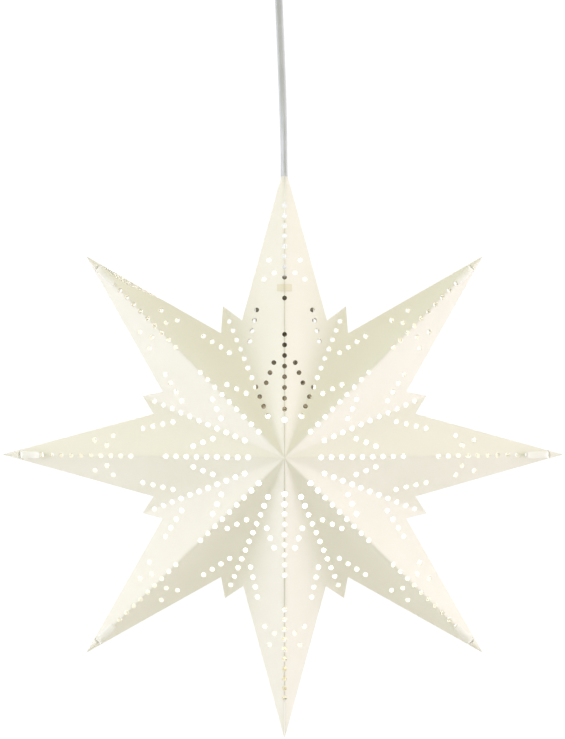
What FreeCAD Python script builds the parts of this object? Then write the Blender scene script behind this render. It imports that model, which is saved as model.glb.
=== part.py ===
import FreeCAD, Part
import math
import os

os.makedirs("parts", exist_ok=True)
V = FreeCAD.Vector

# ------------------------------------------------------------------ dimensions, mm
# Origin: on the ceiling plane, at the middle of the two screw holes. +Z up, the star's front faces -Y.
STAR_X = 6.0          # star axis, right of the ceiling fixing, because the flex leans
STAR_Z = -445.0       # star centre below the ceiling
HALF_DEPTH = 65.0     # front apex to mid plane
CARD_T = 0.6          # card thickness along Y
MID_GAP = 0.1         # half the gap between front and back card at the tips
TIP_R = {0: 222.2, 1: 223.5, 2: 231.4, 3: 223.5, 4: 224.8, 5: 223.5, 6: 227.0, 7: 223.5}   # main points, every 45 degrees from +X
SMALL_R = {0: 122.5, 1: 128.0, 2: 128.0, 3: 122.5, 4: 122.5, 5: 124.0, 6: 124.0, 7: 122.5}  # small points, 22.5 degrees on
NOTCH_U, NOTCH_V = 103.7, 32.7
TOP_SCALE = 1.028     # the top point is a little longer than the rest
TOP_CUT = 221.5       # the top point is cut flat here for the flex
CORD_HOLE_R = 3.5     # room for the flex in the top tip
SEAM_GAP = 0.5        # vertical seam between the left and right halves
CREASE_GAP = 0.3      # slit beside the flap's crease
HOLE_D = 4.0          # punched light holes
RIDGE_IN = [28.2 + 8.06 * k for k in range(9)]
RIDGE_OUT = [120.5 + 8.02 * k for k in range(10)]
VALLEY = [33.5 + 7.82 * k for k in range(11)]
CHEVRON = [(71.2, 8.1), (63.6, 11.0), (55.9, 13.9)]
SIDE = [(111.7, 21.4), (103.7, 23.1), (95.8, 24.9), (87.8, 26.7)]
ARROW = [(150.0, 12.0), (140.0, 8.0), (135.3, 15.6)]
SLOT_U, SLOT_W, SLOT_L = 208.8, 2.2, 6.6     # slot for the back card's tongue
TONGUE_W, TONGUE_END = 5.6, 191.5
STRIP_Z, STRIP_W, STRIP_H, STRIP_T = 132.1, 11.5, 5.5, 0.3   # closing strip
SEAM_STRIP_W, SEAM_STRIP_T = 10.0, 0.4

HOLDER_R, HOLDER_BOTTOM, HOLDER_SPLIT, HOLDER_TOP = 23.0, 32.0, 90.0, 130.6   # above the star centre
GLAND_R, GLAND_TOP = 5.6, 142.0
CORD_D = 6.0
CORD_ROUTE = [(0.0, -50.0), (5.1, -164.0), (6.0, -240.0), (6.0, STAR_Z + 118.5)]   # x, z

PLATE_R, PLATE_T = 36.0, 2.0
SCREW_SPACING, SCREW_HOLE_R = 52.0, 2.4
HOOK_ROD_R, HOOK_R, HOOK_Z = 2.0, 7.0, -16.0
RING_ROD_R, RING_R = 1.5, 8.0
CUP_RIM_R, CUP_TOP, CUP_BOTTOM, CUP_T = 42.0, -3.0, -68.0, 1.2

SPAN = HALF_DEPTH - CARD_T - MID_GAP


# ------------------------------------------------------------------ helpers
def save(node, shape):
    solids = shape.Solids
    if not solids:
        raise SystemExit("no solid in " + node)
    bad = [s for s in solids if not s.isValid() or s.Volume <= 0]
    out = solids[0] if len(solids) == 1 else Part.makeCompound(solids)
    out.exportStep("parts/" + node + ".step")
    b = out.BoundBox
    print("%-20s solids %2d vol %9.1f  x %7.1f %7.1f  y %6.1f %6.1f  z %7.1f %7.1f %s" % (
        node, len(solids), out.Volume, b.XMin, b.XMax, b.YMin, b.YMax, b.ZMin, b.ZMax, "INVALID" if bad else ""))
    return out


def revolve(points, cx=0.0, cz=0.0):
    """Solid of revolution about a vertical axis; points are (radius, height)."""
    pts = [V(cx + r, 0, cz + z) for r, z in points]
    face = Part.Face(Part.makePolygon(pts + [pts[0]]))
    return face.revolve(V(cx, 0, 0), V(0, 0, 1), 360)


def cyl(r, z0, z1, x=0.0, y=0.0):
    return Part.makeCylinder(r, z1 - z0, V(x, y, z0))


def rod(a, b, r):
    d = b.sub(a)
    return Part.makeCylinder(r, d.Length, a, d)


def direction(deg):
    a = math.radians(deg)
    return math.cos(a), math.sin(a)


def place(deg, u, v=0.0):
    """A point of the star's plane from its distance along and across a point's axis."""
    c, s = direction(deg)
    return (u * c - v * s, u * s + v * c)


def slope(k, side):
    """Gradient of the facet of main point k on the given side: 1 at the main tip and at the small tip."""
    a = place(45 * k, TIP_R[k])
    small = k if side > 0 else (k - 1) % 8
    b = place(45 * small + 22.5, SMALL_R[small])
    det = a[0] * b[1] - a[1] * b[0]
    return ((b[1] - a[1]) / det, (a[0] - b[0]) / det)


def depth(grad, p):
    """Distance of the card's outer face from the mid plane."""
    return CARD_T + MID_GAP + SPAN * (1.0 - grad[0] * p[0] - grad[1] * p[1])


def clip(poly, n, d):
    """Keeps the side n.p >= d of a polygon."""
    out = []
    for i, p in enumerate(poly):
        q = poly[(i + 1) % len(poly)]
        a, b = n[0] * p[0] + n[1] * p[1] - d, n[0] * q[0] + n[1] * q[1] - d
        if a >= 0:
            out.append(p)
        if (a > 1e-9 and b < -1e-9) or (a < -1e-9 and b > 1e-9):
            t = a / (a - b)
            out.append((p[0] + t * (q[0] - p[0]), p[1] + t * (q[1] - p[1])))
    return out


def outline(k, side):
    """Facet outline in the star's plane: centre, main tip, notch, small tip."""
    f = TOP_SCALE if k == 2 else 1.0
    small = k if side > 0 else (k - 1) % 8
    return [(0.0, 0.0), place(45 * k, TIP_R[k]), place(45 * k, NOTCH_U * f, side * NOTCH_V * f),
            place(45 * small + 22.5, SMALL_R[small])]


def plate(poly, grad, face, lift=0.0, t=CARD_T):
    """A card facet: face -1 is the front, +1 the back; lift moves it outwards."""
    pts = [V(STAR_X + p[0], face * (depth(grad, p) + lift), STAR_Z + p[1]) for p in poly]
    return Part.Face(Part.makePolygon(pts + [pts[0]])).extrude(V(0, -face * t, 0))


def hole_places(k):
    f = TOP_SCALE if k == 2 else 1.0
    out = [(u * f, 0.0) for u in RIDGE_IN + RIDGE_OUT]
    for u, v in CHEVRON + SIDE + ARROW:
        out += [(u * f, v * f), (u * f, -v * f)]
    return [place(45 * k, u, v) for u, v in out]


HOLES = [p for k in range(8) for p in hole_places(k)]
for k in range(8):
    g = TOP_SCALE if k in (1, 2) else 1.0
    HOLES += [place(45 * k + 22.5, r * g) for r in VALLEY]


def punch(shape, places, d=HOLE_D, front=True):
    y0 = -HALF_DEPTH - 2 if front else 0.0
    tools = [Part.makeCylinder(d / 2, HALF_DEPTH + 2, V(STAR_X + x, y0, STAR_Z + z), V(0, 1, 0)) for x, z in places]
    return shape.cut(Part.makeCompound(tools))


def sheet(facets, face):
    """Neighbouring facets share their walls at each crease and fuse into one folded card."""
    bodies = []
    for k, side, cuts in facets:
        poly = outline(k, side)
        if k == 2:
            poly = clip(poly, (0, -1), -TOP_CUT)
        for n, d in cuts:
            poly = clip(poly, n, d)
        bodies.append(plate(poly, slope(k, side), face))
    out = bodies[0]
    if len(bodies) > 1:
        out = out.multiFuse(bodies[1:])
    return out


LEFT = ((-1.0, 0.0), SEAM_GAP / 2)
RIGHT = ((1.0, 0.0), SEAM_GAP / 2)
left_facets = [(k, s, [LEFT]) for k, s in ((3, -1), (3, 1), (4, -1), (4, 1), (5, -1), (5, 1), (6, -1))]
right_facets = [(k, s, [RIGHT]) for k, s in ((2, -1), (1, 1), (1, -1), (0, 1), (0, -1), (7, 1), (7, -1), (6, 1))]
# the flap's crease runs from the front apex to the small tip at 112.5 degrees
crease_dir = direction(112.5)
crease_n = (crease_dir[1], -crease_dir[0])
flap_facet = [(2, 1, [LEFT, (crease_n, CREASE_GAP)])]

left_places = [p for p in HOLES if p[0] < 2.0]
right_places = [p for p in HOLES if p[0] > -2.0]
tip_hole = cyl(CORD_HOLE_R, STAR_Z + 140, STAR_Z + 240, STAR_X)
TONGUE_TIPS = {"left": (3, 4, 5), "right": (0, 1, 7)}


def turned(shape, k):
    """Carries a shape made on the +X point to main point k."""
    s = shape.copy()
    s.rotate(V(0, 0, 0), V(0, 1, 0), -45 * k)
    s.translate(V(STAR_X, 0, STAR_Z))
    return s


def ridge_y(k, u):
    return CARD_T + MID_GAP + SPAN * (1.0 - u / TIP_R[k])


def slot_tool(k):
    """Curved slot, bulging outwards."""
    r_out = 6.0
    ring = Part.makeCylinder(r_out, 30, V(0, 0, 0), V(0, -1, 0)).cut(Part.makeCylinder(r_out - SLOT_W, 32, V(0, 1, 0), V(0, -1, 0)))
    box = Part.makeBox(10, 34, SLOT_L, V(1.0, -32, -SLOT_L / 2))
    c = ring.common(box)
    c.translate(V(SLOT_U + SLOT_W / 2 - r_out, 0.0, 0))
    return turned(c, k)


def tongue(k):
    """The back card's tip comes forward through the slot and lies inwards on the front ridge."""
    u1, t = SLOT_U - 0.2, 0.55
    u0 = u1 - t
    rise = 0.15
    e = TONGUE_END
    pts = [(u1, 3.2), (u1, -ridge_y(k, u1) - rise - t), (e, -ridge_y(k, e) - rise - t - 0.9), (e, -ridge_y(k, e) - rise - 0.9),
           (u0, -ridge_y(k, u0) - rise), (u0, 3.2)]
    vs = [V(u, y, -TONGUE_W / 2) for u, y in pts]
    return turned(Part.Face(Part.makePolygon(vs + [vs[0]])).extrude(V(0, 0, TONGUE_W)), k)


# ------------------------------------------------------------------ star card
nodes = {}
front_left = sheet(left_facets, -1)
front_right = sheet(right_facets, -1).cut(tip_hole)
flap = sheet(flap_facet, -1).cut(tip_hole)
for k in TONGUE_TIPS["left"]:
    front_left = front_left.cut(slot_tool(k))
for k in TONGUE_TIPS["right"]:
    front_right = front_right.cut(slot_tool(k))
front_left = punch(front_left, left_places)
front_right = punch(front_right, right_places)
flap = punch(flap, [p for p in HOLES if p[0] < 2.0 and p[1] > 20.0 and p[0] > -60])
save("front_left_sheet", front_left)
save("front_right_sheet", front_right)
save("front_top_flap", flap)

back_left = sheet(left_facets + [(2, 1, [LEFT])], 1).cut(tip_hole)
back_right = sheet(right_facets, 1).cut(tip_hole)


def back_tips(shape, tips):
    for k in tips:
        trim = Part.makeBox(40, 40, 40, V(SLOT_U - 0.2, -2, -20))
        shape = shape.cut(turned(trim, k))
    return shape


back_left = punch(back_tips(back_left, TONGUE_TIPS["left"]), left_places, front=False)
back_right = punch(back_tips(back_right, TONGUE_TIPS["right"]), right_places, front=False)
for k in TONGUE_TIPS["left"]:
    back_left = back_left.fuse(tongue(k))
for k in TONGUE_TIPS["right"]:
    back_right = back_right.fuse(tongue(k))
save("back_left_sheet", back_left)
save("back_right_sheet", back_right)


def roof(k, x_half, z0, z1, face, lift, t):
    """A strip folded over the ridge of main point k (2 top, 6 bottom)."""
    halves = []
    for side in (1, -1):
        sgn = -side if k == 2 else side
        poly = [(0, z0), (sgn * x_half, z0), (sgn * x_half, z1), (0, z1)]
        halves.append(plate(poly, slope(k, side), face, lift, t))
    return halves[0].fuse(halves[1])


closing = roof(2, STRIP_W / 2, STRIP_Z - STRIP_H / 2, STRIP_Z + STRIP_H / 2, -1, 0.1 + STRIP_T, STRIP_T)
save("closing_strip", closing)
inside = -(CARD_T + 0.15)
seam_holes = [p for p in HOLES if abs(p[0]) < 0.5]
front_seam = punch(roof(6, SEAM_STRIP_W / 2, -6.0, -196.0, -1, inside, SEAM_STRIP_T), seam_holes, HOLE_D + 0.4)
back_low = roof(6, SEAM_STRIP_W / 2, -6.0, -196.0, 1, inside, SEAM_STRIP_T)
back_high = roof(2, SEAM_STRIP_W / 2, 6.0, 118.0, 1, inside, SEAM_STRIP_T)
back_seam = punch(Part.makeCompound([back_low, back_high]), seam_holes, HOLE_D + 0.4, front=False)
save("front_seam_strip", front_seam)
save("back_seam_strips", back_seam)

# ------------------------------------------------------------------ lampholder, on the star's axis
def lamp(points):
    return revolve(points, STAR_X, STAR_Z)


H0, H1, H2, HR = HOLDER_BOTTOM, HOLDER_SPLIT, HOLDER_TOP, HOLDER_R
shoulder = [(HR - 4 + 4 * math.sin(math.radians(a)), H2 - 4 + 4 * math.cos(math.radians(a))) for a in range(0, 91, 15)]
shoulder_in = [(HR - 4 + 2 * math.sin(math.radians(a)), H2 - 4 + 2 * math.cos(math.radians(a))) for a in range(90, -1, -15)]
cap = lamp([(GLAND_R + 0.3, H2)] + shoulder + [(HR, H1)] + [(HR - 2, H1)] + shoulder_in + [(GLAND_R + 0.3, H2 - 2)])
sleeve = lamp([(HR, H0), (HR, H1 - 0.3), (HR - 2.3, H1 - 0.3), (HR - 2.3, H1 + 9), (HR - 4.3, H1 + 9), (HR - 4.3, H1 - 8),
               (HR - 2.2, H1 - 10), (HR - 2.2, H0 + 1.5), (HR - 3.4, H0 + 0.8), (HR - 3.4, H0)])
gland = lamp([(3.4, H2 - 8), (9.0, H2 - 8), (9.0, H2 - 2.2), (GLAND_R, H2 - 2.2), (GLAND_R, GLAND_TOP - 1.2), (GLAND_R - 1.2, GLAND_TOP), (3.4, GLAND_TOP)])
screw_way = Part.makeCylinder(1.35, 4, V(STAR_X, -2.9, STAR_Z + 137.0), V(0, -1, 0))
gland = gland.cut(screw_way)
gland_screw = Part.makeCylinder(1.25, 2.4, V(STAR_X, -3.15, STAR_Z + 137.0), V(0, -1, 0))
gland_screw = gland_screw.cut(Part.makeBox(3, 0.5, 0.5, V(STAR_X - 1.5, -5.6, STAR_Z + 136.75)))
insert = lamp([(0, 66), (17.0, 66), (17.0, 68), (20.5, 70), (20.5, 76), (14, 78), (0, 78)])
for x in (-9, 9):
    insert = insert.cut(cyl(2.0, STAR_Z + 72, STAR_Z + 80, STAR_X + x))
shell = lamp([(13.55, 38), (13.95, 38), (13.95, 65.8), (4.0, 65.8), (4.0, 65.4), (13.55, 65.4)])
tongue_contact = Part.makeBox(6, 4, 0.5, V(STAR_X - 3, -2, STAR_Z + 64.6)).fuse(cyl(1.8, STAR_Z + 64.6, STAR_Z + 65.9, STAR_X))
t_screws = []
for x in (-9, 9):
    s = cyl(1.5, STAR_Z + 72.3, STAR_Z + 79, STAR_X + x).fuse(cyl(3.0, STAR_Z + 79, STAR_Z + 81, STAR_X + x))
    t_screws.append(s.cut(Part.makeBox(7, 0.7, 0.8, V(STAR_X + x - 3.5, -0.35, STAR_Z + 80.2))))
low_leads = [rod(V(STAR_X + s * 1.6, 0, STAR_Z + 118.2), V(STAR_X + s * 6.4, 0, STAR_Z + 82.0), 1.1) for s in (-1, 1)]
save("lampholder_cap", cap)
save("lampholder_sleeve", sleeve)
save("cord_gland", gland)
save("gland_screw", gland_screw)
save("contact_insert", insert)
save("screw_shell", shell)
save("centre_contact", tongue_contact)
save("terminal_screws", Part.makeCompound(t_screws))
save("lower_leads", Part.makeCompound(low_leads))

# bulb, 60 mm globe on an E27 size cap
globe_pts = [(13.0, 37.5), (13.6, 30.0), (15.6, 22.0), (19.6, 12.0), (24.4, 2.0), (28.4, -7.0), (30.0, -16.0), (29.0, -25.5), (25.2, -34.5), (18.6, -41.4), (9.8, -45.6), (0.0, -47.0)]
outer = Part.BSplineCurve()
outer.interpolate([V(STAR_X + r, 0, STAR_Z + z) for r, z in globe_pts])
inner = Part.BSplineCurve()
inner.interpolate([V(STAR_X + max(r - 1.0, 0), 0, STAR_Z + z + (1.0 if r < 1 else 0.9 * max(0.0, -z - 10) / 37.0)) for r, z in globe_pts])
o, i = outer.toShape(), inner.toShape()
top = Part.LineSegment(o.Vertexes[0].Point, i.Vertexes[0].Point).toShape()
low = Part.LineSegment(o.Vertexes[-1].Point, i.Vertexes[-1].Point).toShape()
globe = Part.Face(Part.Wire(Part.__sortEdges__([o, low, i, top]))).revolve(V(STAR_X, 0, 0), V(0, 0, 1), 360)
if globe.Volume < 0:
    globe.reverse()
bulb_cap = lamp([(12.3, 38.0), (13.1, 38.0), (13.1, 60.0), (9.2, 62.2), (9.2, 61.4), (12.3, 59.4)])
bulb_ins = lamp([(3.1, 60.6), (9.0, 60.6), (9.0, 62.0), (5.2, 63.6), (3.1, 63.6)])
bulb_tip = lamp([(0, 61.0), (2.9, 61.0), (2.9, 63.9), (0, 64.4)])
save("bulb_globe", globe)
save("bulb_screw_cap", bulb_cap)
save("bulb_insulator", bulb_ins)
save("bulb_contact", bulb_tip)

# ------------------------------------------------------------------ flex: straight runs and tangent arcs
def cord_path(points):
    pts = [V(x, 0, z) for x, z in points]
    edges, at, length = [], pts[0], 0.0
    for n in range(1, len(pts) - 1):
        a, b = pts[n].sub(pts[n - 1]), pts[n + 1].sub(pts[n])
        run = min(a.Length, b.Length)
        turn = a.getAngle(b)
        r = 0.45 * run / math.tan(turn / 2)
        reach = 0.45 * run
        da, db = V(a).normalize(), V(b).normalize()
        p, q = pts[n].sub(V(da).multiply(reach)), pts[n].add(V(db).multiply(reach))
        to_mid = V(db).sub(da).normalize()
        mid = pts[n].add(V(to_mid).multiply(r / math.cos(turn / 2) - r))
        edges += [Part.LineSegment(at, p).toShape(), Part.Arc(p, mid, q).toShape()]
        print("flex point %d: turn %.2f deg, radius %.0f mm" % (n, math.degrees(turn), r))
        at = q
    edges.append(Part.LineSegment(at, pts[-1]).toShape())
    return Part.Wire(edges)


path = cord_path(CORD_ROUTE)
start = V(CORD_ROUTE[0][0], 0, CORD_ROUTE[0][1])
first = V(CORD_ROUTE[1][0] - CORD_ROUTE[0][0], 0, CORD_ROUTE[1][1] - CORD_ROUTE[0][1])
ring_wire = Part.Wire([Part.Circle(start, first, CORD_D / 2).toShape()])
cord = path.makePipeShell([ring_wire], True, False)
print("flex length %.1f, volume %.1f, section times length %.1f" % (path.Length, cord.Volume, math.pi * CORD_D ** 2 / 4 * path.Length))
save("cord", cord)

# ------------------------------------------------------------------ ceiling fixing
ceiling_plate = cyl(PLATE_R, -PLATE_T, 0).cut(cyl(HOOK_ROD_R + 0.2, -3, 1))
for x in (-SCREW_SPACING / 2, SCREW_SPACING / 2):
    ceiling_plate = ceiling_plate.cut(cyl(SCREW_HOLE_R, -3, 1, x))
arc = Part.Arc(V(0, 0, HOOK_Z + HOOK_R), V(0, HOOK_R * math.cos(math.radians(30)), HOOK_Z - HOOK_R * 0.5),
               V(0, -HOOK_R * math.cos(math.radians(25)), HOOK_Z + HOOK_R * math.sin(math.radians(25)))).toShape()
hook_ring = Part.Wire([arc]).makePipeShell([Part.Wire([Part.Circle(V(0, 0, HOOK_Z + HOOK_R), V(0, 1, 0), HOOK_ROD_R).toShape()])], True, False)
hook = hook_ring.fuse(cyl(HOOK_ROD_R, HOOK_Z + HOOK_R - 0.5, -0.3)).fuse(Part.makeSphere(HOOK_ROD_R, V(0, 0, HOOK_Z + HOOK_R)))
hexagon = Part.makePolygon([V(4.6 * math.cos(math.radians(60 * n)), 4.6 * math.sin(math.radians(60 * n)), -5.4) for n in range(7)])
nut = Part.Face(hexagon).extrude(V(0, 0, 3.2)).cut(cyl(HOOK_ROD_R + 0.05, -8, 0))
ring_z = HOOK_Z - HOOK_R + HOOK_ROD_R + RING_ROD_R + 0.2 - RING_R
ring = Part.makeTorus(RING_R, RING_ROD_R, V(0, 0, ring_z), V(0, 1, 0))
eye_z = ring_z - RING_R
print("hook pivot z %.2f, ring centre %.2f, eye pivot z %.2f" % (HOOK_Z - HOOK_R, ring_z, eye_z))
save("ceiling_plate", ceiling_plate)
save("ceiling_hook", hook)
save("hook_nut", nut)
save("suspension_ring", ring)

# cord grip: an eye plate in the YZ plane on a round body, with a front clamp and two screws
GRIP_TOP, GRIP_BOTTOM, GRIP_R = -41.0, -63.0, 8.0
eye = Part.makeCylinder(4.6, 2.5, V(-1.25, 0, eye_z - 0.3), V(1, 0, 0)).fuse(Part.makeBox(2.5, 9.2, eye_z - GRIP_TOP + 1, V(-1.25, -4.6, GRIP_TOP - 0.5)))
lean = first.x / -first.z
bore_a, bore_b = V(-lean * 10, 0, -40), V(lean * 20, 0, -70)
bore = rod(V(0, 0, -49.9), bore_b, CORD_D / 2 + 0.12)
lead_way = cyl(2.6, -50.2, -40.0, 3.6)
grip = cyl(GRIP_R, GRIP_BOTTOM, GRIP_TOP).fuse(eye).cut(Part.makeCylinder(2.0, 6, V(-3, 0, eye_z - 0.3), V(1, 0, 0)))
clamp_zone = Part.makeBox(20, 10, 14, V(-10, -10.3, -61))
grip_body = grip.cut(clamp_zone).cut(bore).cut(lead_way)
grip_clamp = cyl(GRIP_R, -60.7, -47.3).common(Part.makeBox(20, 10, 14, V(-10, -10.6, -61))).cut(bore).cut(lead_way)
g_screws = []
for x, z in ((-5.6, -54.0), (5.9, -54.0)):
    way = Part.makeCylinder(1.3, 16, V(x, -12, z), V(0, 1, 0))
    head_way = Part.makeCylinder(2.3, 9.45, V(x, -12.6, z), V(0, 1, 0))
    grip_clamp = grip_clamp.cut(Part.makeCylinder(1.4, 20, V(x, -12, z), V(0, 1, 0))).cut(head_way)
    grip_body = grip_body.cut(Part.makeCylinder(1.3, 5.2, V(x, -2, z), V(0, 1, 0)))
    s = Part.makeCylinder(1.25, 6.2, V(x, -3.3, z), V(0, 1, 0)).fuse(Part.makeCylinder(2.1, 1.4, V(x, -4.95 + 0.3, z), V(0, 1, 0)))
    g_screws.append(s.cut(Part.makeBox(5, 0.6, 0.6, V(x - 2.5, -4.7, z - 0.3))))
save("cord_grip", grip_body)
save("grip_clamp", grip_clamp)
save("grip_screws", Part.makeCompound(g_screws))

# two-pole terminal block beside the grip, and the flex's two leads to it
TB_X, TB_Z = 19.0, -42.0
block = Part.makeBox(9, 17, 14, V(TB_X - 4.5, -8.5, TB_Z - 7))
b_screws = []
for y in (-4.2, 4.2):
    block = block.cut(Part.makeCylinder(1.7, 16, V(TB_X, y, TB_Z - 8), V(0, 0, 1)))
    block = block.cut(Part.makeCylinder(1.9, 4, V(TB_X + 1.5, y, TB_Z + 3.2), V(1, 0, 0)))
    s = Part.makeCylinder(1.75, 2.6, V(TB_X + 1.8, y, TB_Z + 3.2), V(1, 0, 0))
    b_screws.append(s.cut(Part.makeBox(0.6, 4, 0.5, V(TB_X + 3.9, y - 2, TB_Z + 2.95))))
    block = block.cut(Part.makeBox(5, 1.2, 16, V(TB_X - 4.6, -0.6, TB_Z - 8)))
save("terminal_block", block)
save("terminal_block_screws", Part.makeCompound(b_screws))


def lead(points, r):
    pts = [V(*p) for p in points]
    edges, at = [], pts[0]
    for n in range(1, len(pts) - 1):
        a, b = pts[n].sub(pts[n - 1]), pts[n + 1].sub(pts[n])
        turn = a.getAngle(b)
        reach = 0.45 * min(a.Length, b.Length)
        rr = reach / math.tan(turn / 2)
        da, db = V(a).normalize(), V(b).normalize()
        p, q = pts[n].sub(V(da).multiply(reach)), pts[n].add(V(db).multiply(reach))
        mid = pts[n].add(V(db).sub(da).normalize().multiply(rr / math.cos(turn / 2) - rr))
        edges += [Part.LineSegment(at, p).toShape(), Part.Arc(p, mid, q).toShape()]
        at = q
    edges.append(Part.LineSegment(at, pts[-1]).toShape())
    wire = Part.Wire(edges)
    return wire.makePipeShell([Part.Wire([Part.Circle(pts[0], pts[1].sub(pts[0]), r).toShape()])], True, False)


up_leads = [lead([(3.6, s * 1.15, -49.6), (3.7, s * 1.15, -38.6), (8.2, s * 3.3, -34.4), (14.0, s * 3.9, -30.8), (19.0, s * 4.2, -32.4), (19.0, s * 4.2, -41.0)], 1.0) for s in (-1, 1)]
save("upper_leads", Part.makeCompound(up_leads))

# ceiling cup, its hole on the flex's line, with a collar and a set screw that hold it up
cup_x = lean * (-CUP_BOTTOM - 50.0)
profile_out = [(CUP_RIM_R, CUP_TOP), (CUP_RIM_R, CUP_TOP - 8), (41.0, -22.0), (38.4, -34.0), (33.6, -46.0), (26.0, -57.0), (17.0, -64.5), (9.5, CUP_BOTTOM)]
profile_in = [(r - CUP_T, z + (CUP_T if z < -40 else 0)) for r, z in profile_out[::-1]]
profile_in[0] = (3.6, CUP_BOTTOM + CUP_T)
ceiling_cup = revolve(profile_out + [(3.6, CUP_BOTTOM)] + [(3.6, CUP_BOTTOM + CUP_T), (8.6, CUP_BOTTOM + CUP_T)] + profile_in[1:], cup_x, 0)
col_x = lean * (72.5 - 50.0)
collar = revolve([(3.6, -76.6), (6.0, -76.6), (7.0, -75.6), (7.0, CUP_BOTTOM - 0.3), (3.6, CUP_BOTTOM - 0.3)], col_x, 0)
collar = collar.cut(Part.makeCylinder(1.35, 8, V(col_x, -3.2, -72.4), V(0, -1, 0)))
col_screw = Part.makeCylinder(1.25, 3.4, V(col_x, -3.3, -72.4), V(0, -1, 0)).cut(Part.makeBox(3, 0.6, 0.5, V(col_x - 1.5, -6.8, -72.65)))
save("ceiling_cup", ceiling_cup)
save("cup_collar", collar)
save("collar_screw", col_screw)

# ------------------------------------------------------------------ clearances
print("lampholder cap to front right card %.2f, to flap %.2f, to back card %.2f" % (
    cap.distToShape(front_right)[0], cap.distToShape(flap)[0], cap.distToShape(back_left)[0]))
print("flex to flap %.2f, to gland %.2f, to grip %.2f, to cup %.2f, to collar %.2f" % (
    cord.distToShape(flap)[0], cord.distToShape(gland)[0], cord.distToShape(grip_body)[0], cord.distToShape(ceiling_cup)[0], cord.distToShape(collar)[0]))
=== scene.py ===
import bpy
import math
import numpy as np
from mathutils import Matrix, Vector
from mathutils.geometry import delaunay_2d_cdt


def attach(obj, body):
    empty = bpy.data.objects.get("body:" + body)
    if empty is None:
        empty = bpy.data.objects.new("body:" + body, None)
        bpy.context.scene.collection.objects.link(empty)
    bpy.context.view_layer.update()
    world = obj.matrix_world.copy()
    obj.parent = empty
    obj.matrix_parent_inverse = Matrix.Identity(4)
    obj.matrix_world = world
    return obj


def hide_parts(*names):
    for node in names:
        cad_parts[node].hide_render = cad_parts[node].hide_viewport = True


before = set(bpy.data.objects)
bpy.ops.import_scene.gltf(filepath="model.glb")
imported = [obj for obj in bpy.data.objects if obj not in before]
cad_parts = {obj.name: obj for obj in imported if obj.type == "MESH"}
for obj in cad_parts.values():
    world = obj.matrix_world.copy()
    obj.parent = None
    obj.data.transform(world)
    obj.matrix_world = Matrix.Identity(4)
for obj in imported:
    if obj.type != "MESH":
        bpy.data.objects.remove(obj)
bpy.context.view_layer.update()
scene = bpy.context.scene
scene.view_settings.view_transform = "Standard"
scene.view_settings.look = "None"

# ------------------------------------------------------------------ dimensions, mm (the same as the construction's)
SX, SZ = 6.0, -445.0
CARD_T, MID_GAP, HALF_DEPTH = 0.6, 0.1, 65.0
SPAN = HALF_DEPTH - CARD_T - MID_GAP
TIP_R = {0: 222.2, 1: 223.5, 2: 231.4, 3: 223.5, 4: 224.8, 5: 223.5, 6: 227.0, 7: 223.5}
SMALL_R = {0: 122.5, 1: 128.0, 2: 128.0, 3: 122.5, 4: 122.5, 5: 124.0, 6: 124.0, 7: 122.5}
NOTCH_U, NOTCH_V = 103.7, 32.7
TOP_SCALE, TOP_CUT = 1.028, 221.5
HOLE_R = 1.88
RIDGE_IN = [28.2 + 8.06 * k for k in range(9)]
RIDGE_OUT = [120.5 + 8.02 * k for k in range(10)]
VALLEY = [33.5 + 7.82 * k for k in range(11)]
CHEVRON = [(71.2, 8.1), (63.6, 11.0), (55.9, 13.9)]
SIDE = [(111.7, 21.4), (103.7, 23.1), (95.8, 24.9), (87.8, 26.7)]
ARROW = [(150.0, 12.0), (140.0, 8.0), (135.3, 15.6)]
SEAM_HALF = 0.16
BACK_CUT = 213.6
TONGUE_U = 206.5
A8 = math.radians(22.5)
C8, S8 = math.cos(A8), math.sin(A8)

# ------------------------------------------------------------------ camera
cam_data = bpy.data.cameras.new("camera")
cam = bpy.data.objects.new("camera", cam_data)
scene.collection.objects.link(cam)
CAM_D = 1.65
cam.location = ((SX - 1.6) / 1000, -CAM_D, (SZ + 67.8) / 1000)
cam.rotation_euler = (math.radians(90), 0, 0)
cam_data.sensor_fit = "AUTO"
cam_data.sensor_width = 36.0
cam_data.lens = 36.0 * CAM_D / 0.5897
cam_data.clip_end = 50
scene.camera = cam


# ------------------------------------------------------------------ node helpers
def material(name, base, rough=0.6, build=None, **sockets):
    m = bpy.data.materials.new(name)
    m.use_nodes = True
    nt = m.node_tree
    b = nt.nodes["Principled BSDF"]
    b.inputs["Base Color"].default_value = (*base, 1)
    b.inputs["Roughness"].default_value = rough
    for k, v in sockets.items():
        b.inputs[k.replace("_", " ")].default_value = v
    if build:
        build(nt, b)
    return m


def noise(nt, scale, detail=4.0, rough=0.55, stretch=None, coord="Object", seed=0.0):
    tc = nt.nodes.new("ShaderNodeTexCoord")
    mp = nt.nodes.new("ShaderNodeMapping")
    mp.inputs["Location"].default_value = (seed, seed * 0.7, seed * 1.3)
    if stretch:
        mp.inputs["Scale"].default_value = stretch
    n = nt.nodes.new("ShaderNodeTexNoise")
    n.inputs["Scale"].default_value = scale
    n.inputs["Detail"].default_value = detail
    n.inputs["Roughness"].default_value = rough
    nt.links.new(tc.outputs[coord], mp.inputs[0])
    nt.links.new(mp.outputs[0], n.inputs["Vector"])
    return n.outputs["Fac"]


def ramp(nt, fac, stops):
    r = nt.nodes.new("ShaderNodeValToRGB")
    els = r.color_ramp.elements
    while len(els) < len(stops):
        els.new(0.5)
    for e, (pos, col) in zip(els, stops):
        e.position = pos
        e.color = (*col, 1)
    nt.links.new(fac, r.inputs[0])
    return r.outputs[0]


def to_range(nt, fac, a0, a1, b0, b1):
    n = nt.nodes.new("ShaderNodeMapRange")
    for i, v in enumerate((a0, a1, b0, b1)):
        n.inputs[i + 1].default_value = v
    nt.links.new(fac, n.inputs[0])
    return n.outputs[0]


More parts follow.
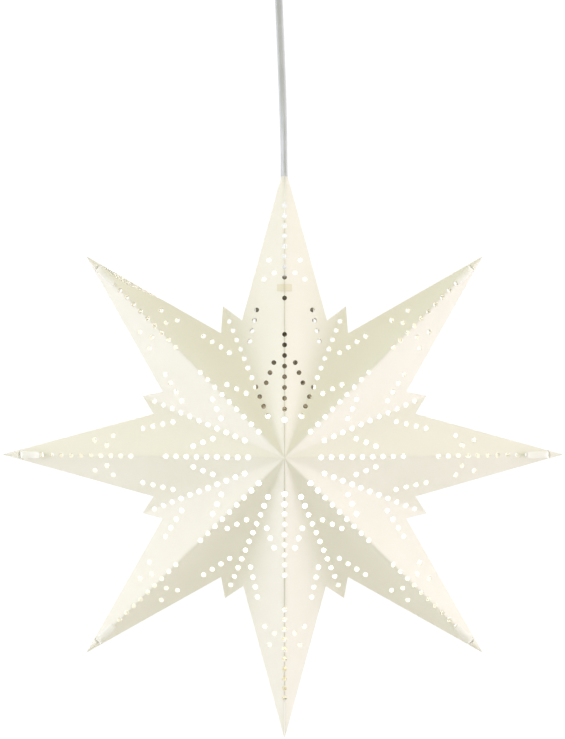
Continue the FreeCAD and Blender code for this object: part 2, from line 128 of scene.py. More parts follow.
def math_node(nt, op, a, b):
    n = nt.nodes.new("ShaderNodeMath")
    n.operation = op
    for i, v in enumerate((a, b)):
        if isinstance(v, (int, float)):
            n.inputs[i].default_value = v
        else:
            nt.links.new(v, n.inputs[i])
    return n.outputs[0]


def bump(nt, bsdf, height, strength, distance):
    n = nt.nodes.new("ShaderNodeBump")
    n.inputs["Strength"].default_value = strength
    n.inputs["Distance"].default_value = distance
    nt.links.new(height, n.inputs["Height"])
    nt.links.new(n.outputs[0], bsdf.inputs["Normal"])


def mix_color(nt, fac, a, b, mode="MIX"):
    n = nt.nodes.new("ShaderNodeMix")
    n.data_type = "RGBA"
    n.blend_type = mode
    for sock, v in ((n.inputs[0], fac), (n.inputs[6], a), (n.inputs[7], b)):
        if isinstance(v, (int, float)):
            sock.default_value = v
        elif isinstance(v, tuple):
            sock.default_value = (*v, 1)
        else:
            nt.links.new(v, sock)
    return n.outputs[2]


def card(name, light, dark, seed):
    """Uncoated card: faint cloudy formation, fine fibres, matt."""
    def build(nt, b):
        cloud = noise(nt, 45, 5, 0.6, seed=seed)
        fine = noise(nt, 900, 4, 0.7, seed=seed + 3)
        fibre_a = noise(nt, 260, 3, 0.5, stretch=(1, 1, 7), seed=seed + 5)
        fibre_b = noise(nt, 260, 3, 0.5, stretch=(7, 1, 1), seed=seed + 9)
        fibre = math_node(nt, "MAXIMUM", fibre_a, fibre_b)
        tone = math_node(nt, "ADD", math_node(nt, "MULTIPLY", cloud, 0.6), math_node(nt, "MULTIPLY", fibre, 0.4))
        nt.links.new(ramp(nt, tone, [(0.30, dark), (0.72, light)]), b.inputs["Base Color"])
        nt.links.new(to_range(nt, fine, 0.3, 0.7, 0.62, 0.82), b.inputs["Roughness"])
        h = math_node(nt, "ADD", math_node(nt, "MULTIPLY", fine, 0.5), fibre)
        bump(nt, b, h, 0.22, 0.00008)
    return material(name, light, 0.75, build, Specular_IOR_Level=0.25)


def moulded(name, base, rough, scale=700, strength=0.12, spec=0.5):
    def build(nt, b):
        n = noise(nt, scale, 3)
        w = noise(nt, 60, 4, seed=4)
        nt.links.new(ramp(nt, w, [(0.3, tuple(c * 0.9 for c in base)), (0.7, base)]), b.inputs["Base Color"])
        nt.links.new(to_range(nt, w, 0.3, 0.7, rough - 0.06, rough + 0.08), b.inputs["Roughness"])
        bump(nt, b, n, strength, 0.00006)
    return material(name, base, rough, build, Specular_IOR_Level=spec)


def metal(name, base, rough, stretch=(1, 1, 14)):
    def build(nt, b):
        g = noise(nt, 320, 3, 0.5, stretch=stretch)
        w = noise(nt, 50, 4, seed=2)
        nt.links.new(ramp(nt, w, [(0.3, tuple(c * 0.82 for c in base)), (0.7, base)]), b.inputs["Base Color"])
        nt.links.new(to_range(nt, g, 0.3, 0.7, rough - 0.08, rough + 0.12), b.inputs["Roughness"])
        bump(nt, b, g, 0.12, 0.00005)
    return material(name, base, rough, build, Metallic=1.0)


CARD_OUT = card("card_outer", (0.930, 0.915, 0.865), (0.905, 0.888, 0.828), 0.0)
CARD_IN_PAINTED_GLOW = card("card_inner_painted_glow", (0.945, 0.940, 0.915), (0.925, 0.918, 0.885), 11.0)
# painted glow: the inner card face emits warm light only in the upper middle of the star (above z -0.345 m, within
# about 55 mm of the centre line), standing in for daylight through the thin card
CARD_IN_PAINTED_GLOW.node_tree.nodes["Principled BSDF"].inputs["Emission Color"].default_value = (1.0, 0.97, 0.88, 1)
_tc = CARD_IN_PAINTED_GLOW.node_tree.nodes.new("ShaderNodeTexCoord")
_sep = CARD_IN_PAINTED_GLOW.node_tree.nodes.new("ShaderNodeSeparateXYZ")
CARD_IN_PAINTED_GLOW.node_tree.links.new(_tc.outputs["Object"], _sep.inputs[0])
# painted glow mask: strength rises from 0 to 0.6 between z -0.345 and -0.31 m, and fades out between 40 and 55 mm from
# the centre line
_up = to_range(CARD_IN_PAINTED_GLOW.node_tree, _sep.outputs["Z"], -0.345, -0.31, 0.0, 0.6)
_off = math_node(CARD_IN_PAINTED_GLOW.node_tree, "ABSOLUTE", math_node(CARD_IN_PAINTED_GLOW.node_tree, "SUBTRACT", _sep.outputs["X"], SX / 1000), 0.0)
_mid = to_range(CARD_IN_PAINTED_GLOW.node_tree, _off, 0.040, 0.055, 1.0, 0.0)
CARD_IN_PAINTED_GLOW.node_tree.links.new(math_node(CARD_IN_PAINTED_GLOW.node_tree, "MULTIPLY", _up, _mid), CARD_IN_PAINTED_GLOW.node_tree.nodes["Principled BSDF"].inputs["Emission Strength"])
CARD_TONGUE = card("card_tongue", (0.955, 0.950, 0.93), (0.935, 0.928, 0.90), 17.0)
CARD_STRIP = card("card_strip", (0.90, 0.87, 0.76), (0.87, 0.83, 0.70), 21.0)
TAPE = card("closing_tape", (0.86, 0.82, 0.68), (0.80, 0.75, 0.60), 31.0)
DARK = moulded("dark_plastic", (0.115, 0.098, 0.070), 0.5)
WHITE = moulded("white_plastic", (0.80, 0.80, 0.77), 0.38)
FLEX = moulded("flex_sheath", (0.64, 0.665, 0.72), 0.42, scale=900, strength=0.08)
CORE = moulded("core_insulation", (0.10, 0.17, 0.42), 0.4)
PORCELAIN = moulded("porcelain", (0.72, 0.69, 0.62), 0.3, scale=400)
STEEL = metal("zinc_steel", (0.62, 0.62, 0.63), 0.34)
BRASS = metal("brass", (0.72, 0.54, 0.25), 0.3)
ALU = metal("rolled_cap", (0.74, 0.73, 0.69), 0.3, stretch=(1, 1, 1))
PAINTED = moulded("painted_steel", (0.80, 0.80, 0.78), 0.45, scale=500)
VITRITE = moulded("black_glass", (0.02, 0.02, 0.025), 0.12)


def opal():
    m = bpy.data.materials.new("opal_lit")
    m.use_nodes = True
    nt = m.node_tree
    b = nt.nodes["Principled BSDF"]
    b.inputs["Roughness"].default_value = 0.35
    n = noise(nt, 40, 3)
    nt.links.new(ramp(nt, n, [(0.3, (0.90, 0.87, 0.80)), (0.7, (0.95, 0.93, 0.88))]), b.inputs["Base Color"])
    b.inputs["Emission Color"].default_value = (1.0, 0.93, 0.80, 1)
    b.inputs["Emission Strength"].default_value = 8.0
    return m


OPAL = opal()
NODE_MATS = {
    "lampholder_cap": DARK, "lampholder_sleeve": DARK, "cord_gland": DARK, "gland_screw": WHITE, "contact_insert": PORCELAIN,
    "screw_shell": BRASS, "centre_contact": BRASS, "terminal_screws": BRASS, "lower_leads": CORE,
    "bulb_globe": OPAL, "bulb_screw_cap": ALU, "bulb_insulator": VITRITE, "bulb_contact": STEEL,
    "ceiling_plate": PAINTED, "ceiling_hook": STEEL, "hook_nut": STEEL, "suspension_ring": STEEL,
    "cord_grip": WHITE, "grip_clamp": WHITE, "grip_screws": STEEL, "terminal_block": WHITE, "terminal_block_screws": BRASS,
    "upper_leads": CORE, "ceiling_cup": WHITE, "cup_collar": WHITE, "collar_screw": WHITE,
}
for node, mat in NODE_MATS.items():
    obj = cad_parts[node]
    if not obj.material_slots:
        obj.data.materials.append(mat)
    for slot in obj.material_slots:
        slot.material = mat


# ------------------------------------------------------------------ flex: a flat two-core lead with a slow twist, on the route's own spline
ROUTE = [(0.0, -50.0), (5.1, -164.0), (6.0, -240.0), (6.0, SZ + 118.5)]
curve = bpy.data.curves.new("flex_line", "CURVE")
curve.dimensions = "3D"
spline = curve.splines.new("NURBS")
spline.points.add(len(ROUTE) - 1)
for p, (x, z) in zip(spline.points, ROUTE):
    p.co = (x / 1000, 0, z / 1000, 1)
spline.order_u = 3
spline.use_endpoint_u = True
spline.resolution_u = 60
line_obj = bpy.data.objects.new("flex_line", curve)
line_mesh = bpy.data.meshes.new_from_object(line_obj)
LINE = [v.co.copy() for v in line_mesh.vertices]
bpy.data.objects.remove(line_obj)
bpy.data.meshes.remove(line_mesh)
bpy.data.curves.remove(curve)


def flex_twist(z):
    """Turn of the flex's wide side about its own line, in degrees, from the height in mm."""
    d = (SZ + 363.0) - z            # 0 at the top of the photograph's frame
    t = min(max((d - 60.0) / 75.0, 0.0), 1.0)
    s = t * t * (3 - 2 * t)
    t2 = min(max((d - 128.0) / 22.0, 0.0), 1.0)
    return 4.0 + 46.0 * s - 30.0 * t2 * t2 * (3 - 2 * t2)


def flex_mesh():
    import bmesh
    n = 28
    a, b = 3.0, 2.15                 # half width and half thickness
    rings = []
    pts = LINE
    length = [0.0]
    for p, q in zip(pts, pts[1:]):
        length.append(length[-1] + (q - p).length)
    total, step = length[-1], 0.0011
    count = int(total / step)
    out = []
    k = 0
    for i in range(count + 1):
        s = total * i / count
        while k < len(length) - 2 and length[k + 1] < s:
            k += 1
        f = (s - length[k]) / (length[k + 1] - length[k])
        out.append(pts[k].lerp(pts[k + 1], f))
    bm = bmesh.new()
    for i, p in enumerate(out):
        d = (out[min(i + 1, len(out) - 1)] - out[max(i - 1, 0)]).normalized()
        w = math.radians(flex_twist(p.z * 1000))
        side = Vector((1, 0, 0))
        side = (side - d * side.dot(d)).normalized()
        front = d.cross(side)
        e1 = side * math.cos(w) + front * math.sin(w)
        e2 = front * math.cos(w) - side * math.sin(w)
        ring = []
        for j in range(n):
            t = 2 * math.pi * j / n
            c, s = math.cos(t), math.sin(t)
            # two round cores side by side: a shallow waist along the middle of each wide face
            r2 = b * (1 - 0.13 * math.exp(-((a * c) / 0.62) ** 2))
            ex = a * (abs(c) ** 0.86) * (1 if c >= 0 else -1)
            ring.append(bm.verts.new(p + (e1 * ex + e2 * r2 * s) / 1000))
        rings.append(ring)
    for r0, r1 in zip(rings, rings[1:]):
        for j in range(n):
            bm.faces.new((r0[j], r0[(j + 1) % n], r1[(j + 1) % n], r1[j]))
    bm.faces.new(rings[0][::-1])
    bm.faces.new(rings[-1])
    bmesh.ops.recalc_face_normals(bm, faces=bm.faces)
    me = bpy.data.meshes.new("flex")
    bm.to_mesh(me)
    bm.free()
    me.materials.append(FLEX)
    me.shade_smooth()
    return me, out, total


flex_me, flex_path, flex_len = flex_mesh()
flex = bpy.data.objects.new("flex", flex_me)
scene.collection.objects.link(flex)
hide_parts("cord")
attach(flex, "pendant")


# ------------------------------------------------------------------ star card
def place(deg, u, v=0.0):
    c, s = math.cos(math.radians(deg)), math.sin(math.radians(deg))
    return (u * c - v * s, u * s + v * c)


def small_of(k, side):
    return k if side > 0 else (k - 1) % 8


def warp(x, z):
    """Slow unevenness of the folded card, mm."""
    return (0.34 * np.sin(x / 37.0 + 1.1) * np.sin(z / 29.0 + 0.4) + 0.22 * np.sin((x + 0.6 * z) / 19.0 + 2.0)
            + 0.12 * np.sin((z - 0.8 * x) / 11.0 + 0.7))


def ease(t):
    t = np.clip(t, 0.0, 1.0)
    return t * t * (3 - 2 * t)


def outer_depth(k, side, u, v, seam=False, free=None):
    """Distance of the card's outer face from the mid plane, with rounded creases; v is measured away from the ridge."""
    R, r = TIP_R[k], SMALL_R[small_of(k, side)]
    gu = 1.0 / R
    gv = (1.0 / r - C8 * gu) / S8
    d = CARD_T + MID_GAP + SPAN * (1.0 - gu * u - gv * v)
    rad = np.hypot(u, v)
    e = 1.15 * ease(rad / 14.0)
    d = d - SPAN * gv * (np.sqrt(v * v + e * e) - v)
    w = u * S8 - v * C8
    sv = SPAN * (gv * C8 - gu * S8)
    e2 = 0.95 * ease(rad / 14.0)
    d = d + sv * (np.sqrt(w * w + e2 * e2) - w)
    # facets are a little hollow between their creases
    mid = np.clip(np.minimum(v, w), 0, None)
    d = d - 0.45 * (1 - np.exp(-mid / 7.0)) * ease((R - u) / 40.0)
    x, z = place(45 * k, u, 0)
    return d


def facet_outline(k, side, v0, cut):
    f = TOP_SCALE if k == 2 else 1.0
    r = SMALL_R[small_of(k, side)]
    R = TIP_R[k]
    n = (NOTCH_U * f, NOTCH_V * f)
    s = (r * C8, r * S8)
    if cut is None:
        pts = [(v0 * 2.4, v0), (R - v0 * 3.7, v0), n, s]
        if v0 == 0:
            pts = [(0.0, 0.0), (R, 0.0), n, s]
    else:
        t = (R - cut) / (R - n[0])
        pts = [(v0 * 2.4, v0), (cut, v0), (cut, n[1] * t), n, s]
    return pts


def subdivide(a, b, step):
    n = max(1, int(round(math.hypot(b[0] - a[0], b[1] - a[1]) / step)))
    return [(a[0] + (b[0] - a[0]) * i / n, a[1] + (b[1] - a[1]) * i / n) for i in range(n)]


def in_poly(px, py, poly):
    inside = np.zeros(px.shape, bool)
    n = len(poly)
    for i in range(n):
        x0, y0 = poly[i]
        x1, y1 = poly[(i + 1) % n]
        cond = (y0 > py) != (y1 > py)
        with np.errstate(divide="ignore", invalid="ignore"):
            xi = (x1 - x0) * (py - y0) / (y1 - y0) + x0
        inside ^= cond & (px < xi)
    return inside


def seg_dist(px, py, a, b):
    ax, ay = a
    dx, dy = b[0] - ax, b[1] - ay
    t = np.clip(((px - ax) * dx + (py - ay) * dy) / (dx * dx + dy * dy), 0, 1)
    return np.hypot(px - ax - t * dx, py - ay - t * dy)


def triangulate(outline, circles, rows, grid, step=4.0, polys=(), lines=(), segs=16):
    """Triangles of the region inside outline, outside every circle (x, y, r, start angle) and every poly in polys."""
    verts, edges = [], []

    def loop(points, closed=True):
        base = len(verts)
        verts.extend(points)
        n = len(points)
        for i in range(n if closed else n - 1):
            edges.append((base + i, base + (i + 1) % n))

    edge_pts = []
    for i, a in enumerate(outline):
        edge_pts += subdivide(a, outline[(i + 1) % len(outline)], step)
    loop(edge_pts)
    for cx, cy, r, a0 in circles:
        loop([(cx + r * math.cos(a0 + 2 * math.pi * j / segs), cy + r * math.sin(a0 + 2 * math.pi * j / segs)) for j in range(segs)])
    for poly in polys:
        loop(poly)
    for ln in lines:
        loop(ln, closed=False)
    px, py = [], []
    for r in rows:
        for x, y in r:
            px.append(x)
            py.append(y)
    lo = np.min(np.array(outline), axis=0)
    hi = np.max(np.array(outline), axis=0)
    if grid:
        gy = np.arange(lo[1] + grid / 2, hi[1], grid * 0.866)
        for j, y in enumerate(gy):
            for x in np.arange(lo[0] + (grid / 2 if j % 2 else 0), hi[0], grid):
                px.append(x)
                py.append(y)
    px, py = np.array(px), np.array(py)
    if len(px):
        keep = in_poly(px, py, outline)
        for i, a in enumerate(outline):
            keep &= seg_dist(px, py, a, outline[(i + 1) % len(outline)]) > 0.28
        for cx, cy, r, _ in circles:
            keep &= np.hypot(px - cx, py - cy) > r + 0.45
        for poly in polys:
            keep &= ~in_poly(px, py, poly)
            for i, a in enumerate(poly):
                keep &= seg_dist(px, py, a, poly[(i + 1) % len(poly)]) > 0.3
        for ln in lines:
            for a, b in zip(ln, ln[1:]):
                keep &= seg_dist(px, py, a, b) > 0.4
        px, py = px[keep], py[keep]
        verts.extend(zip(px.tolist(), py.tolist()))
    res = delaunay_2d_cdt([Vector(v) for v in verts], edges, [], 0, 1e-5)
    V2 = np.array([(v.x, v.y) for v in res[0]])
    T = np.array(res[2], dtype=int)
    c = V2[T].mean(axis=1)
    keep = in_poly(c[:, 0], c[:, 1], outline)
    for cx, cy, r, _ in circles:
        keep &= np.hypot(c[:, 0] - cx, c[:, 1] - cy) > r * 0.985
    for poly in polys:
        keep &= ~in_poly(c[:, 0], c[:, 1], poly)
    p, q, r_ = V2[T[:, 0]], V2[T[:, 1]], V2[T[:, 2]]
    area = 0.5 * ((q[:, 0] - p[:, 0]) * (r_[:, 1] - p[:, 1]) - (q[:, 1] - p[:, 1]) * (r_[:, 0] - p[:, 0]))
    keep &= np.abs(area) > 1e-5
    T = T[keep]
    flip = area[keep] < 0
    T[flip] = T[flip][:, ::-1]
    return V2, T


def slot_poly():
    pts = []
    vs = [3.3 * math.sin(math.pi / 2 * t / 5) for t in range(-5, 6)]
    for v in vs:
        pts.append((206.9 + math.sqrt(25 - v * v), v))
    for v in vs[::-1]:
        pts.append((204.2 + math.sqrt(25 - v * v), v))
    return pts


FACETS = {}


def facet(k, side, tips):
    """Triangles of one facet in its own frame (u, v >= 0). tips: 'slot' front, 'short' back, 'plain'."""
    key = (k, side, tips)
    if key in FACETS:
        return FACETS[key]
    f = TOP_SCALE if k == 2 else 1.0
    g = TOP_SCALE if small_of(k, side) in (1, 2) else 1.0
    v0 = SEAM_HALF if k in (2, 6) else 0.0
    cut = TOP_CUT if k == 2 else (BACK_CUT if tips == "short" else None)
    outline = facet_outline(k, side, v0, cut)
    R = TIP_R[k]
    circles = [(u * f, 0.0, HOLE_R, 0.0) for u in RIDGE_IN + RIDGE_OUT]
    circles += [(u * f, v * f, HOLE_R, 0.3) for u, v in CHEVRON + SIDE + ARROW]
    circles += [(r * g * C8, r * g * S8, HOLE_R, A8) for r in VALLEY]
    rows = []
    for v in (0.5, 1.1, 1.9, 3.0, 4.6):
        rows.append([(u + (1.6 if v in (1.1, 3.0) else 0), v) for u in np.arange(3.0, R - 2, 3.2)])
    for w in (0.5, 1.1, 1.9, 3.0, 4.6):
        rows.append([(r * C8 + w * S8, r * S8 - w * C8) for r in np.arange(4.0 + (1.6 if w in (1.1, 3.0) else 0), 120.0, 3.2)])
    polys = []
    if tips == "slot":
        polys = [slot_poly()]
    FACETS[key] = triangulate(outline, circles, rows, 4.6, polys=polys)
    return FACETS[key]


def lift_tip(k, face, u, v, d):
    """The top tip opens into a small sleeve round the flex."""
    if k == 2:
        t = ease((u - 188.0) / 26.0)
        need = np.sqrt(np.clip(4.2 ** 2 - v * v, 0.0, None))
        d = np.where(d < need * t + d * (1 - t), need * t + d * (1 - t), d)
    return d


def bow(k, side, face, u, v):
    """Free edges that have sprung a little out of line, mm across the facet."""
    f = TOP_SCALE if k == 2 else 1.0
    R = TIP_R[k]
    edge = NOTCH_V * f * (R - u) / (R - NOTCH_U * f)      # outline's v at this u
    near = ease(1.0 - (edge - v) / 9.0)
    s = np.clip((u - 150.0) / 60.0, 0, 1)
    if face < 0 and k == 3 and side < 0:                  # upper left point, upper edge, towards the tip
        return -3.6 * near * np.sin(math.pi * s ** 1.5) ** 1.3
    return 0.0 * near


def build_solid(name, outer, inner, tris, mats, rim_mat=0):
    """Closed card mesh from matching outer and inner points; boundary edges get a rim."""
    n = len(outer)
    faces = [tuple(t) for t in tris]
    inner_faces = [(t[2] + n, t[1] + n, t[0] + n) for t in tris]
    E = np.concatenate([tris[:, [0, 1]], tris[:, [1, 2]], tris[:, [2, 0]]])
    key = np.sort(E, axis=1)
    code = key[:, 0].astype(np.int64) * n + key[:, 1]
    uniq, idx, counts = np.unique(code, return_index=True, return_counts=True)
    rim = [(int(E[i][1]), int(E[i][0]), int(E[i][0]) + n, int(E[i][1]) + n) for i in idx[counts == 1]]
    me = bpy.data.meshes.new(name)
    me.from_pydata(np.vstack([outer, inner]).tolist(), [], faces + inner_faces + rim)
    for m in mats:
        me.materials.append(m)
    idxs = np.zeros(len(me.polygons), dtype=np.int32)
    idxs[len(faces):len(faces) + len(inner_faces)] = 1
    idxs[len(faces) + len(inner_faces):] = rim_mat
    me.polygons.foreach_set("material_index", idxs)
    me.validate()
    me.update()
    me.shade_smooth()
    me.set_sharp_from_angle(angle=math.radians(42))
    return me


def card_sheet(name, facets, face, tips_of, body, node):
    """One folded card half. face -1 front, +1 back."""
    pts, tris, index = [], [], {}
    for k, side in facets:
        V2, T = facet(k, side, tips_of(k))
        u, v = V2[:, 0], V2[:, 1]
        d = outer_depth(k, side, u, v)
        d = lift_tip(k, face, u, v, d)
        vv = v + bow(k, side, face, u, v)
        c, s = math.cos(math.radians(45 * k)), math.sin(math.radians(45 * k))
        x = u * c - side * vv * s
        z = u * s + side * vv * c
        d = d + warp(x, z) * ease((TIP_R[k] - u) / 30.0) * ease(np.hypot(u, v) / 20.0) * (1.0 if face < 0 else 0.8)
        d = np.clip(d, 0.64, 64.85)
        P = np.stack([SX + x, face * d, np.maximum(SZ + z, SZ - 226.0)], axis=1)
        ids = np.empty(len(P), dtype=int)
        w = u * S8 - v * C8
        border = (v < 0.01) | (np.abs(w) < 0.01)
        used = np.unique(T)
        mask = np.zeros(len(P), bool)
        mask[used] = True
        for i in range(len(P)):
            if not mask[i]:
                continue
            if border[i]:
                key = (round(P[i, 0] * 20), round(P[i, 2] * 20))
                found = None
                for dx in (0, -1, 1):
                    for dz in (0, -1, 1):
                        found = index.get((key[0] + dx, key[1] + dz)) if found is None else found
                if found is not None and np.hypot(pts[found][0] - P[i, 0], pts[found][2] - P[i, 2]) < 0.05:
                    ids[i] = found
                    continue
                index[key] = len(pts)
            ids[i] = len(pts)
            pts.append(P[i])
        t = ids[T]
        if (side > 0) != (face > 0):
            pass
        tris.append((t, side))
    pts = np.array(pts)
    all_t = []
    for t, side in tris:
        good = (t[:, 0] != t[:, 1]) & (t[:, 1] != t[:, 2]) & (t[:, 2] != t[:, 0])
        all_t.append(t[good])
    T = np.concatenate(all_t)
    a, b, c = pts[T[:, 0]], pts[T[:, 1]], pts[T[:, 2]]
    ny = np.cross(b - a, c - a)[:, 1]
    wrong = ny * face < 0
    T[wrong] = T[wrong][:, ::-1]
    inner = pts.copy()
    inner[:, 1] -= face * 0.55
    me = build_solid(name, pts / 1000, inner / 1000, T, [CARD_OUT, CARD_IN_PAINTED_GLOW])
    obj = bpy.data.objects.new(name, me)
    scene.collection.objects.link(obj)
    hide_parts(node)
    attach(obj, body)
    return obj


FRONT_LEFT = [(3, -1), (3, 1), (4, -1), (4, 1), (5, -1), (5, 1), (6, -1)]
FRONT_RIGHT = [(2, -1), (1, 1), (1, -1), (0, 1), (0, -1), (7, 1), (7, -1), (6, 1)]


def front_tips(k):
    return "plain" if k in (2, 6) else "slot"


def back_tips(k):
    return "plain" if k in (2, 6) else "short"


front_left = card_sheet("star_front_left", FRONT_LEFT, -1, front_tips, "star", "front_left_sheet")
front_right = card_sheet("star_front_right", FRONT_RIGHT, -1, front_tips, "star", "front_right_sheet")
flap = card_sheet("star_top_flap", [(2, 1)], -1, front_tips, "flap", "front_top_flap")
back_left = card_sheet("star_back_left", [(2, 1)] + FRONT_LEFT, 1, back_tips, "star", "back_left_sheet")
back_right = card_sheet("star_back_right", FRONT_RIGHT, 1, back_tips, "star", "back_right_sheet")


def ridge_depth(k, u):
    return float(outer_depth(k, 1, np.array([u]), np.array([0.0]))[0])


def crest(k, u):
    """Front ridge's distance from the mid plane, unevenness included."""
    x, z = place(45 * k, u, 0.0)
    return ridge_depth(k, u) + float(warp(x, z) * ease((TIP_R[k] - u) / 30.0))


def tongue_mesh(k, lift, end, curl):
    """Tip of the back card: forward through the slot, then inwards along the front ridge, its end sprung up."""
    import bmesh
    path = []
    y_back = ridge_depth(k, TONGUE_U)
    path.append((TONGUE_U - 1.0, ridge_depth(k, TONGUE_U - 1.0) - 0.35))
    path.append((TONGUE_U + 1.6, y_back - 1.0))
    path.append((TONGUE_U + 3.0, 1.2))
    path.append((TONGUE_U + 3.6, -1.5))
    yf = -ridge_depth(k, TONGUE_U + 3.2)
    path.append((TONGUE_U + 3.5, yf + 0.6))
    path.append((TONGUE_U + 2.9, yf - 0.45))
    n = 9
    for i in range(1, n + 1):
        t = i / n
        u = TONGUE_U + 2.2 + (end - TONGUE_U - 2.2) * t
        path.append((u, -crest(k, u) - 0.75 - lift * t ** 1.8 - curl * max(0.0, t - 0.6) ** 2))
    bm = bmesh.new()
    rows = []
    W = 2.8
    cols = 8
    for i, (u, y) in enumerate(path):
        row = []
        end_f = (i - (len(path) - 1 - 3)) / 3.0
        w = W * (1.0 if end_f <= 0 else math.sqrt(max(1 - 0.55 * end_f ** 2, 0.05)))
        for j in range(cols + 1):
            s = -1 + 2 * j / cols
            droop = 0.0
            if i >= 6:
                t = (i - 5) / n
                droop = (0.95 - 0.55 * t) * (s * s) * 1.05
            v = s * w
            x, z = place(45 * k, u, v)
            row.append(bm.verts.new(((SX + x) / 1000, (y + droop) / 1000, (SZ + z) / 1000)))
        rows.append(row)
    for r0, r1 in zip(rows, rows[1:]):
        for j in range(cols):
            bm.faces.new((r0[j], r0[j + 1], r1[j + 1], r1[j]))
    me = bpy.data.meshes.new("back_tongue_%d" % k)
    bm.to_mesh(me)
    bm.free()
    me.materials.append(CARD_TONGUE)
    obj = bpy.data.objects.new("back_tongue_%d" % k, me)
    scene.collection.objects.link(obj)
    sub = obj.modifiers.new("smooth", "SUBSURF")
    sub.levels = sub.render_levels = 1
    sol = obj.modifiers.new("card", "SOLIDIFY")
    sol.thickness = 0.0004
    sol.offset = 0.0
    me.shade_smooth()
    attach(obj, "star")
    return obj


TONGUES = {0: (0.9, 192.0, 3.0), 1: (0.8, 193.0, 2.0), 3: (0.6, 190.5, 2.0), 4: (1.6, 193.5, 4.0), 5: (0.8, 191.0, 2.5), 7: (0.9, 192.0, 3.0)}
for k, (lift, end, curl) in TONGUES.items():
    tongue_mesh(k, lift, end, curl)


def strip(name, k, side_list, u0, u1, v_far, face, lift, t, mats, body, node, circles=True, v_near=0.0, step=2.0, wave=0.0):
    """A strip folded over a ridge, laid on the card's own surface at the given lift (outwards) and thickness."""
    f = TOP_SCALE if k == 2 else 1.0
    pts, T_all = [], []
    for side in side_list:
        outline = [(u0, v_near), (u1, v_near), (u1, v_far), (u0, v_far)]
        cs = [(u * f, 0.0, HOLE_R + 0.25, 0.0) for u in RIDGE_IN + RIDGE_OUT] if circles else []
        cs = [c for c in cs if u0 - 3 < c[0] < u1 + 3]
        rows = [[(u, v) for u in np.arange(u0 + step / 2, u1, step)] for v in np.arange(v_near + 0.5, v_far, 0.9)]
        V2, T = triangulate(outline, cs, rows, 0, step=step)
        u, v = V2[:, 0], V2[:, 1]
        w = np.minimum(u * S8 - v * C8, 0.0)              # past the valley the next facet comes back, as in a mirror
        d = outer_depth(k, side, u - 2 * w * S8, v + 2 * w * C8)
        d = lift_tip(k, face, u, v, d)
        c, s = math.cos(math.radians(45 * k)), math.sin(math.radians(45 * k))
        x = u * c - side * v * s
        z = u * s + side * v * c
        d = d + warp(x, z) * ease((TIP_R[k] - u) / 30.0) * ease(np.hypot(u, v) / 20.0) * (1.0 if face < 0 else 0.8) + lift
        if wave:
            d = d + wave * (0.5 + 0.5 * np.sin(x * 1.7 + 0.6) * np.sin(z * 2.3))
        base = len(pts)
        pts.extend(np.stack([SX + x, face * d, SZ + z], axis=1).tolist())
        T_all.append(T + base)
    pts = np.array(pts)
    # join the two halves along the ridge
    order = {}
    remap = np.arange(len(pts))
    for i, p in enumerate(pts):
        key = (round(p[0] * 50), round(p[2] * 50))
        if key in order:
            remap[i] = order[key]
        else:
            order[key] = i
    T = remap[np.concatenate(T_all)]
    T = T[(T[:, 0] != T[:, 1]) & (T[:, 1] != T[:, 2]) & (T[:, 2] != T[:, 0])]
    used = np.unique(T)
    new = np.full(len(pts), -1)
    new[used] = np.arange(len(used))
    pts, T = pts[used], new[T]
    a, b, c = pts[T[:, 0]], pts[T[:, 1]], pts[T[:, 2]]
    ny = np.cross(b - a, c - a)[:, 1]
    wrong = ny * face < 0
    T[wrong] = T[wrong][:, ::-1]
    inner = pts.copy()
    inner[:, 1] -= face * t
    me = build_solid(name, pts / 1000, inner / 1000, T, mats)
    obj = bpy.data.objects.new(name, me)
    scene.collection.objects.link(obj)
    if node:
        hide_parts(*node)
    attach(obj, body)
    return obj


strip("closing_tape", 2, (1, -1), 129.4, 134.9, 5.9, -1, 0.42, 0.28, [TAPE, TAPE], "flap", ("closing_strip",), circles=False, step=0.9, wave=0.12)
strip("seam_strip_front", 6, (1, -1), 0.0, 196.0, 5.0, -1, -0.58, 0.35, [CARD_STRIP, CARD_STRIP], "star", ("front_seam_strip",))
back_strip_low = strip("seam_strip_back_low", 6, (1, -1), 6.0, 196.0, 5.0, 1, -0.75, 0.35, [CARD_STRIP, CARD_STRIP], "star", None)
strip("seam_strip_back_high", 2, (1, -1), 6.0, 118.0, 5.0, 1, -0.75, 0.35, [CARD_STRIP, CARD_STRIP], "star", ("back_seam_strips",))
# narrow lip of the right half, tucked under the flap's edge
strip("seam_lip", 2, (1, -1), 0.0, 186.0, 2.6, -1, -0.57, 0.35, [CARD_OUT, CARD_IN_PAINTED_GLOW], "star", None)

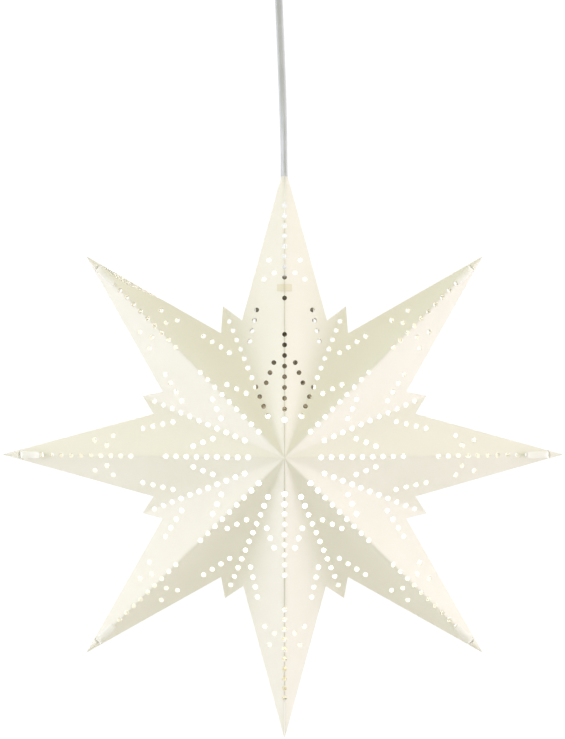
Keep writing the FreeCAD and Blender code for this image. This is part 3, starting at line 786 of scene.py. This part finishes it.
# ------------------------------------------------------------------ floor, world, lights
floor_me = bpy.data.meshes.new("floor")
ring_n = 96
floor_me.from_pydata([(3.0 * math.cos(2 * math.pi * i / ring_n), 3.0 * math.sin(2 * math.pi * i / ring_n), -1.3) for i in range(ring_n)], [], [tuple(range(ring_n))])
floor_me.materials.append(material("floor", (0.86, 0.86, 0.85), 0.8))
floor = bpy.data.objects.new("floor", floor_me)
scene.collection.objects.link(floor)

world = bpy.data.worlds.new("studio")
scene.world = world
world.use_nodes = True
wn = world.node_tree
bg = wn.nodes["Background"]
lp = wn.nodes.new("ShaderNodeLightPath")
bg2 = wn.nodes.new("ShaderNodeBackground")
mixs = wn.nodes.new("ShaderNodeMixShader")
bg.inputs[1].default_value = 1.0
wtc = wn.nodes.new("ShaderNodeTexCoord")
wsep = wn.nodes.new("ShaderNodeSeparateXYZ")
wn.links.new(wtc.outputs["Generated"], wsep.inputs[0])
wn.links.new(ramp(wn, to_range(wn, wsep.outputs["Z"], -1.0, 1.0, 0.0, 1.0), [(0.0, (0.435, 0.425, 0.295)), (1.0, (0.72, 0.71, 0.55))]), bg.inputs[0])
bg2.inputs[0].default_value = (1, 1, 1, 1)
bg2.inputs[1].default_value = 1.05
wn.links.new(lp.outputs["Is Camera Ray"], mixs.inputs[0])
wn.links.new(bg.outputs[0], mixs.inputs[1])
wn.links.new(bg2.outputs[0], mixs.inputs[2])
wn.links.new(mixs.outputs[0], wn.nodes["World Output"].inputs[0])


def area(name, loc, size, power, color, target=(SX / 1000, 0, SZ / 1000)):
    ld = bpy.data.lights.new(name, "AREA")
    ld.shape = "RECTANGLE"
    ld.size, ld.size_y = size
    ld.energy = power
    ld.color = color
    lo = bpy.data.objects.new(name, ld)
    lo.location = loc
    lo.rotation_euler = (Vector(target) - Vector(loc)).to_track_quat("-Z", "Y").to_euler()
    scene.collection.objects.link(lo)
    return lo


CZ = SZ / 1000
area("left_box", (-1.7, -0.2, CZ + 0.04), (0.35, 1.2), 14.0, (0.95, 0.96, 1.2))
area("right_box", (1.7, -0.2, CZ + 0.04), (0.35, 1.2), 14.5, (1.0, 0.93, 1.16))
area("top_box", (0.0, -0.4, CZ + 1.8), (1.6, 1.0), 8.0, (1.0, 0.98, 0.93))
